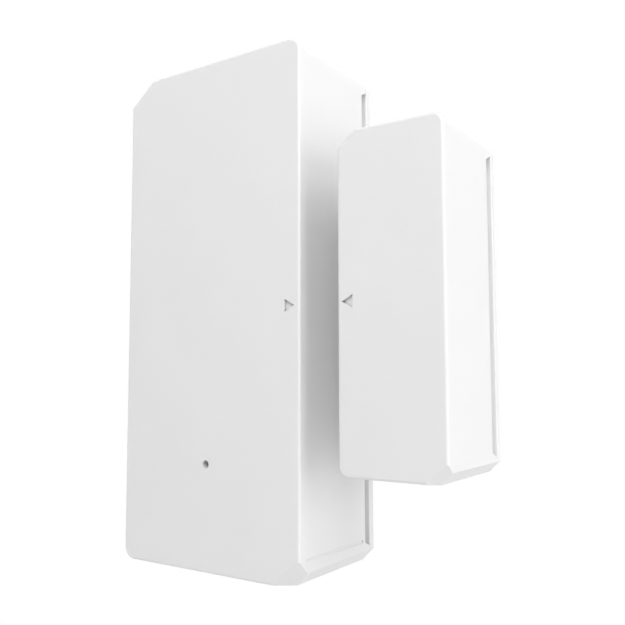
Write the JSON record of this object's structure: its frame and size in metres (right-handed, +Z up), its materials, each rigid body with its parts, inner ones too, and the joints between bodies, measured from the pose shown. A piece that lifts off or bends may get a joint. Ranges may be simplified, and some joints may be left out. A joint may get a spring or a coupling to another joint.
{
  "type": "door contact sensor",
  "caption": "Wireless door contact sensor: a battery unit with a reed switch behind a plain white shell, and a shorter magnet unit for the door.",
  "frame": {"origin": "centre of the rear adhesive face of the sensor unit, where it meets the door frame", "axes": "+X from the sensor towards the magnet unit, +Y out of the rear face into the door frame, -Y is the front, +Z up along the long side"},
  "size_m": [0.0508, 0.019, 0.07],
  "materials": {
    "case_plastic": "fine satin moulded ABS, white",
    "foam_tape": "closed-cell white foam tape",
    "board_laminate": "green solder mask on glass laminate",
    "screw_steel": "zinc-plated steel",
    "tray_plastic": "plain moulded plastic",
    "cell_core": "packed cell chemistry",
    "cell_steel": "nickel-plated steel can",
    "cell_sleeve": "plain dark shrink sleeve",
    "contact_plating": "nickel-plated spring steel",
    "reed_glass": "clear greenish glass",
    "reed_alloy": "tinned nickel-iron",
    "led_white": "white ceramic-filled base",
    "led_resin": "clear resin",
    "black_plastic": "glass-filled nylon",
    "shield_steel": "tinned sheet steel",
    "chip_resin": "moulded chip resin",
    "capacitor_ceramic": "tan ceramic",
    "resistor_ceramic": "black-coated ceramic",
    "capacitor_aluminium": "bare aluminium can",
    "module_laminate": "dark solder mask",
    "copper": "gold-flashed copper",
    "magnet_plating": "nickel-plated magnet",
    "cushion_foam": "soft black foam"
  },
  "bodies": {
    "sensor_base": {"sensor_cover": "case_plastic", "sensor_cover_hooks": "case_plastic", "sensor_adhesive_pad": "foam_tape"},
    "sensor_housing": {"sensor_shell": "case_plastic", "main_board": "board_laminate", "board_screws": "screw_steel", "battery_tray": "tray_plastic", "left_cell_core": "cell_core", "left_cell_can": "cell_steel", "left_cell_sleeve": "cell_sleeve", "right_cell_core": "cell_core", "right_cell_can": "cell_steel", "right_cell_sleeve": "cell_sleeve", "link_contact": "contact_plating", "link_spring": "contact_plating", "negative_contact": "contact_plating", "negative_spring": "contact_plating", "positive_contact": "contact_plating", "reed_glass": "reed_glass", "reed_fixed_blade": "reed_alloy", "reed_upper_lead": "reed_alloy", "led_body": "led_white", "led_lens": "led_resin", "button_body": "black_plastic", "button_cover": "shield_steel", "controller_chip": "chip_resin", "crystal_can": "shield_steel", "chip_capacitors": "capacitor_ceramic", "chip_resistors": "resistor_ceramic", "reservoir_base": "black_plastic", "reservoir_can": "capacitor_aluminium", "radio_board": "module_laminate", "radio_shield": "shield_steel", "radio_chip": "chip_resin", "antenna_trace": "copper"},
    "pairing_button": {"button_plunger": "black_plastic"},
    "reed_blade": {"reed_moving_blade": "reed_alloy"},
    "magnet_base": {"magnet_cover": "case_plastic", "magnet_cover_hooks": "case_plastic", "magnet_adhesive_pad": "foam_tape"},
    "magnet_housing": {"magnet_shell": "case_plastic", "bar_magnet": "magnet_plating", "magnet_cushion": "cushion_foam"}
  },
  "joints": [
    {"name": "housing_lift_off", "type": "slide", "parent": "sensor_base", "child": "sensor_housing", "axis": [0, -1, 0], "range_m": [0, 0.03], "deforming": ["sensor_cover_hooks"]},
    {"name": "button_press", "type": "slide", "parent": "sensor_housing", "child": "pairing_button", "axis": [0, -1, 0], "range_m": [0, 0.00025], "stiffness_N_per_m": 6000},
    {"name": "reed_blade_flex", "type": "hinge", "parent": "sensor_housing", "child": "reed_blade", "pos_m": [0.0113, -0.01619, 0.004], "axis": [-1, 0, 0], "range_deg": [0, 0.75]},
    {"name": "door_opening", "type": "slide", "parent": "sensor_base", "child": "magnet_base", "axis": [1, 0, 0], "range_m": [0, 0.06]},
    {"name": "magnet_lift_off", "type": "slide", "parent": "magnet_base", "child": "magnet_housing", "axis": [0, -1, 0], "range_m": [0, 0.025], "deforming": ["magnet_cover_hooks"]}
  ],
  "couplings": [
    {"joint": "reed_blade_flex", "follows": "door_opening", "rad_per_m": 0.2181}
  ]
}
